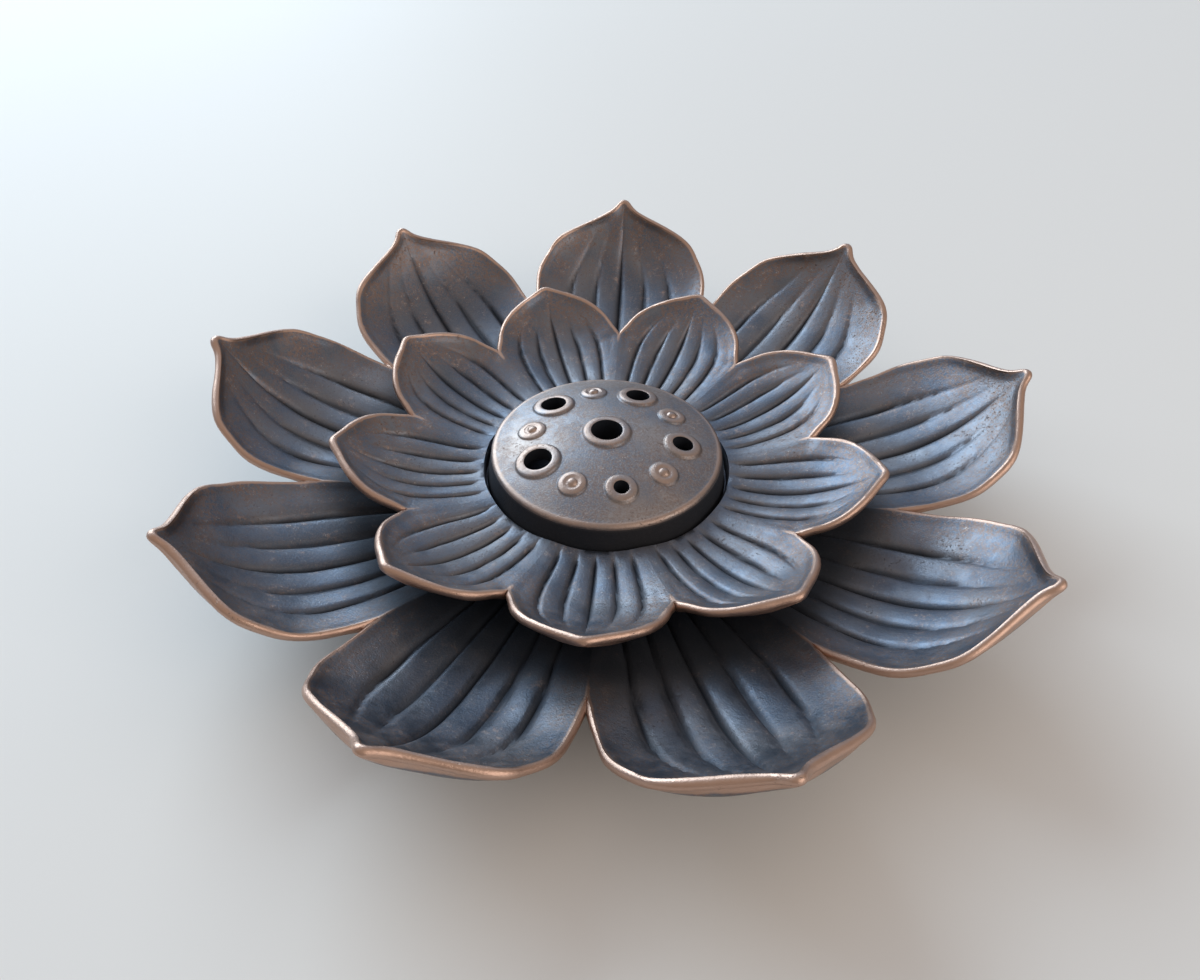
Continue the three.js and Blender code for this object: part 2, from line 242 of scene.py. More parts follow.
def smoothstep(value, low, high):
    share = np.clip((np.asarray(value, float) - low) / (high - low), 0, 1)
    return share * share * (3 - 2 * share)


def lerp(start, end, share):
    return start + (end - start) * share


def circle(steps, turn=0.0):
    """Points round a circle of radius 1, seen from above."""
    angle = np.linspace(0, 2 * math.pi, steps, endpoint=False) + turn
    return np.column_stack([np.cos(angle), np.sin(angle)])


def level_ring(ring, radius, height):
    """Points of a ring of radius 1, widened to a radius and set at a height."""
    return np.column_stack([ring * radius, np.full(len(ring), height)])


def spline_through(points, places):
    """A curve through the points, like a draughtsman's spline, at places from 0 to 1 along it."""
    points = np.asarray(points, float)
    spans = len(points) - 1
    padded = np.vstack([points[0], points, points[-1]])
    position = np.clip(np.asarray(places, float), 0, 1) * spans
    span = np.minimum(position.astype(int), spans - 1)
    t = (position - span)[:, None]
    p0, p1, p2, p3 = (padded[span + i] for i in range(4))
    slope_in = (p2 - p0) / 2
    slope_out = (p3 - p1) / 2
    return (
        (2 * p1 - 2 * p2 + slope_in + slope_out) * t**3
        + (-3 * p1 + 3 * p2 - 2 * slope_in - slope_out) * t**2
        + slope_in * t
        + p1
    )


# Petals

def petal_line(tier):
    """Radii, heights and arc lengths of the middle line: a sloping floor that curls up to the tip."""
    run = tier["tip_radius"] - tier["root_radius"]
    curl = tier["tip_top"] - tier["root_top"] - tier["floor_slope"] * run
    share = np.linspace(0, 1, LINE_STEPS)
    radius = tier["root_radius"] + run * share
    height = tier["root_top"] + tier["floor_slope"] * run * share + curl * share ** tier["curl_power"]
    length = np.concatenate([[0], np.cumsum(np.hypot(np.diff(radius), np.diff(height)))])
    return radius, height, length


def eased_along(along, values, reach):
    """Values averaged over a reach to both sides of each place along the petal."""
    shifts = np.linspace(-reach, reach, 2 * EASE_STEPS + 1)
    return np.mean([np.interp(along + shift, along, values) for shift in shifts], axis=0)


def petal_rows(tier):
    """Rows across the petal from root to tip. Up to the notch its sides meet those of its neighbours."""
    radius, height, length = petal_line(tier)
    notch = np.interp(tier["notch_radius"], radius, length) / length[-1]
    notch_half = tier["notch_radius"] * math.tan(math.pi / PETAL_COUNT)

    joined = np.linspace(0, 1, tier["joined_rows"] + 1)
    joined_share = notch * joined
    joined_half = np.interp(joined_share * length[-1], length, radius) * math.tan(math.pi / PETAL_COUNT)
    joined_cup = tier["cup_depth"] * lerp(tier["root_cup"], 1, smoothstep(joined, 0, 1))

    places = 1 - (1 - np.linspace(0, 1, tier["free_rows"] + 1)[1:]) ** ROW_POWER
    outline = spline_through(tier["outline"], places)
    free = np.clip(outline[:, 0], 0, 1)
    free_half = notch_half * np.maximum(outline[:, 1], 0)
    from_tip = (1 - free) * (1 - notch) * length[-1]
    blunt = 2 * tier["tip_round"] * from_tip * np.exp(-from_tip / (2 * tier["tip_round"]))
    free_half = np.sqrt(free_half**2 + blunt)
    free_cup = tier["cup_depth"] * (1 - free ** tier["cup_power"])

    share = np.concatenate([joined_share, lerp(notch, 1, free)])
    along = share * length[-1]
    row_radius = np.interp(along, length, radius)
    row_height = np.interp(along, length, height)
    slope_x = np.interp(along, length, np.gradient(radius, length))
    slope_z = np.interp(along, length, np.gradient(height, length))
    size = np.hypot(slope_x, slope_z)
    half = np.concatenate([joined_half, free_half])
    rounded = eased_along(along, half, OUTLINE_EASE)
    notch_along = notch * length[-1]
    past_notch = smoothstep(along, notch_along, notch_along + EASE_FADE)
    short_of_tip = smoothstep(length[-1] - along, TIP_KEPT, TIP_KEPT + EASE_FADE)
    half = lerp(half, rounded, past_notch * short_of_tip)
    eased = eased_along(along, half, tier["vein_ease"])
    widest = VEIN_REACH / ((VEINS_PER_SIDE + VEIN_WIDTH / 2) * tier["vein_pitch"])
    return {
        "share": share,
        "along": along,
        "half": half,
        "vein_spread": np.minimum(eased / np.maximum(half, NARROWEST_HALF), widest),
        "joined": np.concatenate([joined, np.ones_like(free)]),
        "free": np.concatenate([np.zeros_like(joined), free]),
        "cup": np.concatenate([joined_cup, free_cup]),
        "radius": row_radius,
        "height": row_height,
        "slope": np.stack([slope_x / size, slope_z / size], axis=1),
    }


def from_edge(rows, across):
    """Distance to the petal's edge at each point of the unrolled petal."""
    edge = np.stack([rows["along"], rows["half"]], axis=1)
    point = np.stack(
        [
            np.broadcast_to(rows["along"][:, None], (len(rows["along"]), len(across))),
            np.abs(rows["half"][:, None] * across[None, :]),
        ],
        axis=2,
    )
    start = edge[:-1]
    span = edge[1:] - edge[:-1]
    offset = point[:, :, None, :] - start
    share = np.clip((offset * span).sum(3) / np.maximum((span * span).sum(1), 1e-12), 0, 1)
    return np.linalg.norm(offset - share[..., None] * span, axis=3).min(2)


def vein_valley(tier, rows, across):
    """1 at the bottom of a vein and 0 on the ribs between, with the veins' fading ends."""
    place = np.abs(across)[None, :] / (tier["vein_pitch"] * rows["vein_spread"][:, None])
    from_vein = np.clip(np.abs(place - np.minimum(np.round(place), VEINS_PER_SIDE)) * 2, 0, 1)
    groove = np.clip(1 - from_vein / VEIN_WIDTH, 0, 1) ** GROOVE_POWER
    profile = GROOVE_SHARE * groove + (1 - GROOVE_SHARE) * (1 - from_vein) ** TROUGH_POWER
    end = np.where(place < 0.5, tier["middle_vein_end"], tier["vein_end"])
    share = rows["share"][:, None]
    fade = 1 - smoothstep((share - end + VEIN_FADE) / VEIN_FADE, 0, 1)
    return profile * (fade * smoothstep(share, 0, tier["vein_start"]))


def petal_face(tier, rows, across, is_under):
    """Points of a petal that lies along +X, with the masks that its finish and its painted shade follow.
    """
    angle = across * math.pi / PETAL_COUNT
    round_place = rows["radius"][:, None, None] * np.stack([np.cos(angle), np.sin(angle)], axis=1)
    straight = np.stack(
        [
            np.broadcast_to(rows["radius"][:, None], (len(rows["radius"]), len(across))),
            rows["half"][:, None] * across,
        ],
        axis=2,
    )
    place = lerp(round_place, straight, rows["joined"][:, None, None])

    spoon = np.abs(across) ** EDGE_POWER
    ridge = lerp(spoon, (1 - np.cos(math.pi * across)) / 2, tier["ridge_round"])
    blend = smoothstep(rows["free"], 0, 0.3)[:, None]
    lift = rows["cup"][:, None] * lerp(ridge[None, :], spoon[None, :], blend)

    # The rim follows the free edge, and runs on along the ridge between two petals until it dies out
    distance = from_edge(rows, across)
    along_rim = smoothstep(rows["joined"], 0.3, 1)[:, None]
    handled = along_rim * (1 - smoothstep(distance, 0.5, TOUCH_REACH))
    if is_under:
        near_edge = np.maximum(np.abs(across)[None, :] ** 3, rows["free"][:, None] ** 6)
        thinning = near_edge * smoothstep(rows["free"], 0, 0.2)[:, None]
        offset = lift - lerp(tier["thickness"], tier["edge_thickness"], thinning)
        free = smoothstep(rows["free"], 0, 0.1)[:, None]
        worn = free * (1 - smoothstep(distance, 0.1, UNDER_WORN_REACH))
        shade = np.zeros_like(distance)
    else:
        bead = along_rim * (1 - smoothstep(distance, tier["rim_width"] * 0.3, tier["rim_width"]))
        valley = vein_valley(tier, rows, across)
        offset = lift + tier["rim_height"] * bead - tier["vein_depth"] * valley
        free = smoothstep(rows["joined"], 0.7, 1)[:, None]
        worn = free * (1 - smoothstep(distance, 0, WORN_REACH))
        # Painted shade darkens the outer petals' roots, where the inner tier shades them
        root_shade = tier["root_painted_shade"] * (1 - smoothstep(rows["share"], 0.12, 0.58))[:, None]
        shade = np.maximum(valley, root_shade)

    tilt = smoothstep(rows["free"], 0, 0.25)
    normal = np.stack([-rows["slope"][:, 1] * tilt, rows["slope"][:, 0]], axis=1)
    normal = normal / np.linalg.norm(normal, axis=1)[:, None]
    points = np.stack(
        [
            place[..., 0] + normal[:, None, 0] * offset,
            place[..., 1],
            rows["height"][:, None] + normal[:, None, 1] * offset,
        ],
        axis=2,
    )
    return points, worn, shade, handled


class Casting:
    """Collects points and faces, with worn, shaded and handled masks for each point."""

    def __init__(self):
        self.points = []
        self.worn = []
        self.shade = []
        self.handled = []
        self.faces = []
        self.count = 0

    def add_points(self, points, worn=0.0, shade=0.0, handled=0.0):
        points = np.asarray(points, float)
        shape = points.shape[:-1]
        flat = points.reshape(-1, 3)
        self.points.append(flat)
        for masks, mask in ((self.worn, worn), (self.shade, shade), (self.handled, handled)):
            masks.append(np.broadcast_to(np.asarray(mask, float), shape).reshape(-1))
        numbers = np.arange(self.count, self.count + len(flat)).reshape(shape)
        self.count += len(flat)
        return numbers

    def add_grid(self, numbers, closed=False, flip=False):
        """Quads between neighbouring rows and columns of numbered points."""
        if closed:
            numbers = np.concatenate([numbers, numbers[:, :1]], axis=1)
        a, b = numbers[:-1, :-1], numbers[1:, :-1]
        c, d = numbers[1:, 1:], numbers[:-1, 1:]
        quads = np.stack([a, d, c, b] if flip else [a, b, c, d], axis=-1).reshape(-1, 4)
        self.faces.extend(quads.tolist())

    def make_object(self, name):
        points = np.concatenate(self.points) * MM
        mesh = bpy.data.meshes.new(name)
        faces = []
        for face in self.faces:
            kept = [corner for i, corner in enumerate(face) if corner != face[i - 1]]
            if len(kept) > 2:
                faces.append(kept)
        mesh.from_pydata(points.tolist(), [], faces)
        masks = {"worn_edge": self.worn, "vein_shade": self.shade, "handled": self.handled}
        for label, values in masks.items():
            layer = mesh.attributes.new(label, "FLOAT", "POINT")
            layer.data.foreach_set("value", np.concatenate(values).astype(np.float32))
        return link(name, mesh)


def link(name, mesh):
    obj = bpy.data.objects.new(name, mesh)
    bpy.context.scene.collection.objects.link(obj)
    return obj


def petal_sector(name, tier, hub_profile):
    """One petal with its share of the hub, lying along +X.

    The hub's profile runs from the petal's upper face in to the bore and back out to its lower face.
    """
    rows = petal_rows(tier)
    # Columns stand closer together towards the petal's edges
    bend = 0.4 * math.pi
    across = np.sin(np.linspace(-1, 1, COLUMNS + 1) * bend) / math.sin(bend)
    across[COLUMNS // 2] = 0
    under_across = across[::UNDER_STEP]
    top, *top_masks = petal_face(tier, rows, across, False)
    under, *under_masks = petal_face(tier, rows, under_across, True)

    under_angle = under_across * math.pi / PETAL_COUNT
    ring = np.stack([np.cos(under_angle), np.sin(under_angle)], axis=1)
    under[0] = level_ring(ring, tier["root_under_radius"], tier["root_top"] - tier["thickness"])

    sector = Casting()
    top_numbers = sector.add_points(top, *top_masks)
    under_numbers = sector.add_points(under, *under_masks)
    sector.add_grid(top_numbers)
    sector.add_grid(under_numbers, flip=True)

    hub = np.stack([level_ring(ring, radius, height) for radius, height in hub_profile])
    hub_numbers = sector.add_points(hub)
    for i in range(len(ring) - 1):
        fan = top_numbers[0, i * UNDER_STEP:(i + 1) * UNDER_STEP + 1].tolist()
        sector.faces.append([hub_numbers[0, i], *fan, hub_numbers[0, i + 1]])
    strip = np.concatenate([hub_numbers, under_numbers[:1]])
    sector.add_grid(strip, flip=True)

    first = tier["joined_rows"]
    outline = np.stack([rows["along"], rows["half"]], axis=1)[first:]
    tangent = np.gradient(outline, axis=0)
    tangent[-1] = (0, -1)
    tangent = tangent / np.linalg.norm(tangent, axis=1)[:, None]
    reach = EDGE_ROUND * smoothstep(rows["free"][first:], 0, 0.06)
    slope = rows["slope"][first:]
    for side in (-1, 1):
        column = -1 if side > 0 else 0
        upper = top[first:, column]
        lower = under[first:, column]
        outward = np.stack(
            [-tangent[:, 1] * slope[:, 0], side * tangent[:, 0], -tangent[:, 1] * slope[:, 1]], axis=1
        )
        angles = np.linspace(0, math.pi, EDGE_STEPS + 2)[1:-1]
        middle = (upper + lower) / 2
        half = (upper - lower) / 2
        section = [
            middle + half * math.cos(angle) + outward * (reach * math.sin(angle))[:, None]
            for angle in angles
        ]
        numbers = sector.add_points(np.stack(section, axis=1), 1, 0, 1)
        band = np.column_stack([top_numbers[first:, column], numbers, under_numbers[first:, column]])
        sector.add_grid(band, flip=side < 0)
    return sector.make_object(name)


def node_input(tree, name, kind, value):
    """Adds an input to a node group, and gives the identifier that a modifier sets it by."""
    socket = tree.interface.new_socket(name=name, in_out="INPUT", socket_type=kind)
    socket.default_value = value
    return socket.identifier


def ring_tree(material):
    """Geometry nodes: copies of a sector round the axis, welded into one slightly uneven casting."""
    tree = bpy.data.node_groups.new("petal_ring", "GeometryNodeTree")
    tree.interface.new_socket(name="Geometry", in_out="INPUT", socket_type="NodeSocketGeometry")
    node_input(tree, "Petal count", "NodeSocketInt", PETAL_COUNT)
    turn = node_input(tree, "Turn", "NodeSocketFloat", 0.0)
    node_input(tree, "Weld distance", "NodeSocketFloat", WELD_DISTANCE * MM)
    node_input(tree, "Unevenness", "NodeSocketFloat", UNEVENNESS * MM)
    even_radius = node_input(tree, "Even radius", "NodeSocketFloat", 0.0)
    tree.interface.new_socket(name="Geometry", in_out="OUTPUT", socket_type="NodeSocketGeometry")
    nodes, links = tree.nodes, tree.links
    inputs = nodes.new("NodeGroupInput")
    outputs = nodes.new("NodeGroupOutput")
    line = nodes.new("GeometryNodeMeshLine")
    line.mode = "OFFSET"
    line.inputs["Offset"].default_value = (0, 0, 0)
    links.new(inputs.outputs["Petal count"], line.inputs["Count"])
    instance = nodes.new("GeometryNodeInstanceOnPoints")
    links.new(line.outputs["Mesh"], instance.inputs["Points"])
    links.new(inputs.outputs["Geometry"], instance.inputs["Instance"])

    index = nodes.new("GeometryNodeInputIndex").outputs["Index"]
    pitch = math_node(tree, "DIVIDE", 2 * math.pi, inputs.outputs["Petal count"])
    angle = math_node(tree, "MULTIPLY_ADD", index, pitch, inputs.outputs["Turn"])
    combine = nodes.new("ShaderNodeCombineXYZ")
    links.new(angle, combine.inputs["Z"])
    links.new(combine.outputs[0], instance.inputs["Rotation"])

    realize = nodes.new("GeometryNodeRealizeInstances")
    links.new(instance.outputs["Instances"], realize.inputs["Geometry"])
    merge = nodes.new("GeometryNodeMergeByDistance")
    links.new(realize.outputs["Geometry"], merge.inputs["Geometry"])
    links.new(inputs.outputs["Weld distance"], merge.inputs["Distance"])

    place = nodes.new("GeometryNodeInputPosition").outputs["Position"]
    waves = noise(tree, place, UNEVEN_SCALE, detail=2, roughness=0.35)
    flat = nodes.new("ShaderNodeVectorMath")
    flat.operation = "MULTIPLY"
    flat.inputs[1].default_value = (1, 1, 0)
    links.new(place, flat.inputs[0])
    from_axis = nodes.new("ShaderNodeVectorMath")
    from_axis.operation = "LENGTH"
    links.new(flat.outputs["Vector"], from_axis.inputs[0])
    beyond = math_node(tree, "SUBTRACT", from_axis.outputs["Value"], inputs.outputs["Even radius"])
    reach = math_node(tree, "DIVIDE", beyond, EVEN_FADE * MM, clamp=True)
    swing = math_node(tree, "SUBTRACT", waves, 0.5)
    depth = math_node(tree, "MULTIPLY", swing, inputs.outputs["Unevenness"])
    push = nodes.new("ShaderNodeVectorMath")
    push.operation = "SCALE"
    links.new(nodes.new("GeometryNodeInputNormal").outputs["Normal"], push.inputs[0])
    links.new(math_node(tree, "MULTIPLY", depth, reach), push.inputs["Scale"])
    shift = nodes.new("GeometryNodeSetPosition")
    links.new(merge.outputs["Geometry"], shift.inputs["Geometry"])
    links.new(push.outputs["Vector"], shift.inputs["Offset"])

    smooth = nodes.new("GeometryNodeSetShadeSmooth")
    links.new(shift.outputs["Geometry"], smooth.inputs["Geometry"])
    finish = nodes.new("GeometryNodeSetMaterial")
    finish.inputs["Material"].default_value = material
    links.new(smooth.outputs["Geometry"], finish.inputs["Geometry"])
    links.new(finish.outputs["Geometry"], outputs.inputs["Geometry"])
    return tree, turn, even_radius


def ring_of_petals(name, sector, turn, even_radius, material):
    """The sector repeated round the axis by geometry nodes, as a plain mesh."""
    modifier = sector.modifiers.new("ring", "NODES")
    modifier.node_group, turn_input, even_radius_input = ring_tree(material)
    modifier[turn_input] = turn
    modifier[even_radius_input] = even_radius * MM
    depsgraph = bpy.context.evaluated_depsgraph_get()
    mesh = bpy.data.meshes.new_from_object(sector.evaluated_get(depsgraph), depsgraph=depsgraph)
    mesh.name = name
    bpy.data.objects.remove(sector)
    return link(name, mesh)


def crease(obj, degrees=CREASE_ANGLE):
    """Smooth shading with sharp edges where the faces turn by more than the angle."""
    mesh = obj.data
    mesh.shade_smooth()
    work = bmesh.new()
    work.from_mesh(mesh)
    limit = math.radians(degrees)
    for edge in work.edges:
        if len(edge.link_faces) == 2 and edge.calc_face_angle(0) > limit:
            edge.smooth = False
    work.to_mesh(mesh)
    work.free()


def petal_tier(name, node, tier, turn, hub_profile, material):
    sector = petal_sector(name + "_sector", tier, hub_profile)
    casting = ring_of_petals(name, sector, turn, tier["root_radius"] + EVEN_MARGIN, material)
    crease(casting)
    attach(casting, BODY)
    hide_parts(node)


def outer_petals(material):
    foot_inner = FOOT_RADIUS - FOOT_WALL
    hub = (
        (SCREW_BORE, PLATE_TOP),
        (SCREW_BORE, PLATE_BOTTOM),
        (foot_inner, PLATE_BOTTOM),
        (foot_inner, FOOT_FACE + FOOT_INNER_EDGE),
        (foot_inner + FOOT_INNER_EDGE, FOOT_FACE),
        (FOOT_RADIUS - FOOT_OUTER_EDGE, FOOT_FACE),
        (FOOT_RADIUS - FOOT_EDGE_CUT, FOOT_FACE + FOOT_EDGE_CUT),
        (FOOT_RADIUS, FOOT_FACE + FOOT_OUTER_EDGE),
        (FOOT_RADIUS, PLATE_BOTTOM - FOOT_FILLET),
    )
    petal_tier("outer_petals", "outer_petal_tier", OUTER_TIER, math.pi / 2, hub, material)


def inner_petals(material):
    relief_outer = POD_RADIUS + POD_DRAFT - POD_WALL - RELIEF_MARGIN
    relief_inner = POST_RADIUS + RELIEF_MARGIN
    relief_floor = SEAT_TOP - RELIEF_DEPTH
    moat_top = SEAT_TOP + MOAT_DEPTH
    hub = (
        *((MOAT_RADIUS - inwards, moat_top - down) for inwards, down in MOAT_EDGE),
        (MOAT_RADIUS - MOAT_EDGE[-1][0], SEAT_TOP),
        (relief_outer, SEAT_TOP),
        (relief_outer, relief_floor),
        (relief_inner, relief_floor),
        (relief_inner, SEAT_TOP),
        (SCREW_BORE, SEAT_TOP),
        (SCREW_BORE, PLATE_TOP),
        (SEAT_RADIUS - SEAT_EDGE, PLATE_TOP),
        (SEAT_RADIUS, PLATE_TOP + SEAT_EDGE),
    )
    turn = math.pi / 2 - math.radians(TIER_TURN)
    petal_tier("inner_petals", "inner_petal_tier", INNER_TIER, turn, hub, material)


# Seed pod

def dome_height(radius):
    return POD_APEX - POD_DOME_RADIUS + np.sqrt(POD_DOME_RADIUS**2 - np.asarray(radius, float) ** 2)


def dome_over(plan):
    """Height of the bare dome over points seen from above."""
    return dome_height(np.hypot(plan[:, 0], plan[:, 1]))


def feature_places():
    """Middle and hole radius of each feature of the dome. A blind button has a hole radius of 0."""
    places = [(0.0, 0.0, CENTRE_HOLE_RADIUS)]
    step = 360 / len(RING_HOLE_RADII)
    for i, radius in enumerate(RING_HOLE_RADII):
        for part, hole in ((0, radius), (0.5, 0.0)):
            around = math.radians(90 - (STICK_HOLE_TURN + (i + part) * step))
            places.append((STICK_HOLE_RING * math.cos(around), STICK_HOLE_RING * math.sin(around), hole))
    return places


def feature_reach(hole):
    """Outer radius of the lip round a hole, or of a blind button."""
    return hole + LIP_WIDTH if hole else BUTTON_RADIUS


def lip_profile(from_hole):
    """Height of a flat-topped lip with a round shoulder at distances out from its hole's edge."""
    share = np.clip(from_hole / LIP_WIDTH, 0, 1)
    edge = lerp(LIP_EDGE, 1, smoothstep(share, 0, 0.16))
    return LIP_HEIGHT * edge * (1 - 0.08 * share) * (1 - share**6) ** 0.7


def button_profile(radius):
    """Height of a blind button: a rounded boss, dished, with a nub in the middle."""
    rim = BUTTON_HEIGHT * np.sqrt(np.clip(1 - (radius / BUTTON_RADIUS) ** 4, 0, 1))
    dish = BUTTON_DISH * (1 - smoothstep(radius, *DISH_RADII))
    nub = (NUB_HEIGHT + BUTTON_DISH) * np.sqrt(np.clip(1 - (radius / NUB_RADIUS) ** 2, 0, 1))
    return rim - dish + nub


def dome_points(places):
    """Points of the dome seen from above: rings round each feature, and an even spread between them."""
    points = []
    loops = []
    for x, y, hole in places:
        if hole:
            shares = (1 - np.cos(np.linspace(0, math.pi, LIP_RINGS))) / 2
            radii = hole + LIP_WIDTH * shares
        else:
            # Rings stand closer together towards the button's edge
            middle = np.linspace(0.12, 1.2, 9)
            edge = BUTTON_RADIUS * (1 - (1 - np.linspace(0.75, 1, 7)) ** 1.6)
            radii = np.concatenate([middle, edge])
            points.append((x, y))
        radii = np.concatenate([radii, feature_reach(hole) + np.array(APRON_RINGS)])
        for n, radius in enumerate(radii):
            if n == 0 and hole:
                loops.append(range(len(points), len(points) + HOLE_STEPS))
            turn = (n % 2) * math.pi / HOLE_STEPS
            points.extend((x, y) + radius * circle(HOLE_STEPS, turn))
    for radius in np.arange(DOME_SPACING, EDGE_RADIUS - DOME_SPACING / 2, DOME_SPACING):
        steps = int(round(2 * math.pi * radius / DOME_SPACING))
        for px, py in radius * circle(steps):
            clear = all(
                math.hypot(px - x, py - y) > feature_reach(hole) + FEATURE_MARGIN
                for x, y, hole in places
            )
            if clear:
                points.append((px, py))
    loops.append(range(len(points), len(points) + ROUND_STEPS))
    points.extend(EDGE_RADIUS * circle(ROUND_STEPS))
    return points, loops


def fill_plan(points, loops, holes):
    """Triangles between points seen from above, with the loops as edges and the holes left open."""
    bounds = [(loop[i - 1], loop[i]) for loop in loops for i in range(len(loop))]
    made = delaunay_2d_cdt([Vector(p) for p in points], bounds, [], 0, PLAN_TOLERANCE)
    flat = np.array([tuple(p) for p in made[0]])
    origin = {old[0]: new for new, old in enumerate(made[3]) if old}
    triangles = np.array(made[2])
    middle = flat[triangles].mean(1)
    keep = np.ones(len(triangles), bool)
    for x, y, hole in holes:
        keep &= np.hypot(middle[:, 0] - x, middle[:, 1] - y) > hole * math.cos(math.pi / HOLE_STEPS)
    return flat, triangles[keep], [[origin[i] for i in loop] for loop in loops]


def add_dome(pod, places):
    """Adds the dome with its lips and buttons. Gives the loops of its holes, then that of its edge."""
    points, loops = dome_points(places)
    flat, triangles, loops = fill_plan(points, loops, [(x, y, hole) for x, y, hole in places if hole])
    radius = np.hypot(flat[:, 0], flat[:, 1])
    height = dome_height(radius)
    # Worn on the crests and on the dome's edge, with painted shade where the features meet the dome and
    # in a ring round each button's nub
    worn = 0.8 * smoothstep(radius, POD_RADIUS - 1.5, POD_RADIUS - 0.3)
    shade = np.zeros(len(flat))
    for x, y, hole in places:
        distance = np.hypot(flat[:, 0] - x, flat[:, 1] - y)
        if hole:
            bump = lip_profile(distance - hole)
            outside = distance - hole - LIP_WIDTH
            crest = 0.8 * smoothstep(bump, 0.3 * LIP_HEIGHT, 0.9 * LIP_HEIGHT)
        else:
            bump = button_profile(np.minimum(distance, BUTTON_RADIUS))
            bump = np.where(distance < BUTTON_RADIUS, bump, 0)
            outside = distance - BUTTON_RADIUS
            crest = smoothstep(bump, 0.3 * BUTTON_HEIGHT, 0.75 * BUTTON_HEIGHT)
            shade = np.maximum(shade, 0.3 * np.clip(1 - np.abs(distance - NUB_RADIUS) / 0.3, 0, 1))
        height = height + bump
        worn = np.maximum(worn, crest)
        foot_shade = np.where(outside > -0.2, 0.35 - 0.35 * smoothstep(outside, 0.0, 0.6), 0)
        shade = np.maximum(shade, foot_shade)
    top = pod.add_points(np.column_stack([flat, height]), worn, shade, POD_HANDLED)
    pod.faces.extend(top[triangles].tolist())
    return [top[loop] for loop in loops]


def add_wall(pod, outer_loop):
    """Adds the wall, from the dome's rounded edge down to the seat and up inside. Gives its last ring."""
    base_radius = POD_RADIUS + POD_DRAFT
    edge_top = float(dome_height(EDGE_RADIUS))
    profile = []
    for share in np.linspace(1, 0, 9)[1:]:
        angle = share * math.pi / 2
        radius = EDGE_RADIUS + POD_EDGE_ROUND * math.cos(angle)
        height = edge_top - POD_EDGE_ROUND * (1 - math.sin(angle))
        profile.append((radius, height, 1 - 0.5 * (1 - share)))
    wall_top = profile[-1][1]
    for share in (0.06, 0.25, 0.5, 0.75, 0.97):
        profile.append((lerp(POD_RADIUS, base_radius, share), lerp(wall_top, SEAT_TOP, share), 0))
    dark_from = len(profile) - 5
    ceiling_top = float(dome_height(CEILING_RADIUS)) - POD_WALL
    profile += [
        (base_radius - POD_BASE_EDGE, SEAT_TOP, 0),
        (base_radius - POD_WALL, SEAT_TOP, 0),
        (CEILING_RADIUS, ceiling_top - CEILING_FILLET_HEIGHT, 0),
        (CEILING_RADIUS - CEILING_FILLET_WIDTH, ceiling_top, 0),
    ]
    ring = circle(ROUND_STEPS)
    rings = []
    # Painted shade darkens the edge's lower curve, the wall and the rings inside it
    for i, (radius, height, wear) in enumerate(profile):
        shade = WALL_SHADE * float(smoothstep(i, dark_from - 3, dark_from))
        rings.append(pod.add_points(level_ring(ring, radius, height), wear, shade))
    pod.add_grid(np.stack([outer_loop, *rings]), closed=True)
    return rings[-1]


def add_ceiling(pod, places, wall_ring, hole_loops):
    """Adds the hollow's ceiling, with the ring holes up through it. Gives the loop round the post."""
    ring = circle(HOLE_STEPS)
    ring_holes = [(x, y, hole) for x, y, hole in places[1:] if hole]
    openings = [*ring_holes, (0, 0, POST_RADIUS)]
    points = []
    loops = []
    for x, y, radius in openings:
        loops.append(range(len(points), len(points) + HOLE_STEPS))
        points.extend((x, y) + radius * ring)
    loops.append(range(len(points), len(points) + ROUND_STEPS))
    points.extend((CEILING_RADIUS - CEILING_FILLET_WIDTH) * circle(ROUND_STEPS))
    flat, triangles, loops = fill_plan(points, loops, openings)
    # The hollow's ceiling carries painted shade
    under = pod.add_points(np.column_stack([flat, dome_over(flat) - POD_WALL]), 0, HOLLOW_SHADE)
    pod.faces.extend(under[triangles][:, ::-1].tolist())
    *lower_loops, post_loop, edge_loop = [under[loop] for loop in loops]
    pod.add_grid(np.stack([wall_ring, edge_loop]), closed=True)
    for (x, y, hole), lower, upper in zip(ring_holes, lower_loops, hole_loops):
        plan = (x, y) + ring * hole
        # Each hole turns to painted shade just below its lip
        dark = np.column_stack([plan, dome_over(plan) + LIP_EDGE * LIP_HEIGHT - RING_HOLE_DARK])
        pod.add_grid(np.stack([lower, pod.add_points(dark, 0, HOLLOW_SHADE), upper]), closed=True)
    return post_loop


def add_post(pod, post_loop, centre_loop):
    """Adds the post, with the screw's tapped bore below and the centre hole above."""
    bore_end = SCREW_END + BORE_OVERRUN
    profile = (
        (POST_RADIUS, SEAT_TOP + POST_EDGE),
        (POST_RADIUS - POST_EDGE, SEAT_TOP),
        (POST_BORE, SEAT_TOP),
        (POST_BORE, bore_end),
        (CENTRE_HOLE_RADIUS, bore_end),
        (CENTRE_HOLE_RADIUS, POD_APEX + LIP_EDGE * LIP_HEIGHT - CENTRE_HOLE_DARK),
    )
    ring = circle(HOLE_STEPS)
    # The post, its bore and the centre hole carry painted shade
    rings = [
        pod.add_points(level_ring(ring, radius, height), 0, HOLLOW_SHADE) for radius, height in profile
    ]
    pod.add_grid(np.stack([post_loop, *rings, centre_loop]), closed=True)


def seed_pod(material):
    places = feature_places()
    pod = Casting()
    centre_loop, *hole_loops, outer_loop = add_dome(pod, places)
    wall_ring = add_wall(pod, outer_loop)
    post_loop = add_ceiling(pod, places, wall_ring, hole_loops)
    add_post(pod, post_loop, centre_loop)
    casting = pod.make_object("pod_casting")
    tidy_mesh(casting)
    casting.data.materials.append(material)
    crease(casting, POD_CREASE_ANGLE)
    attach(casting, BODY)
    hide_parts("seed_pod")


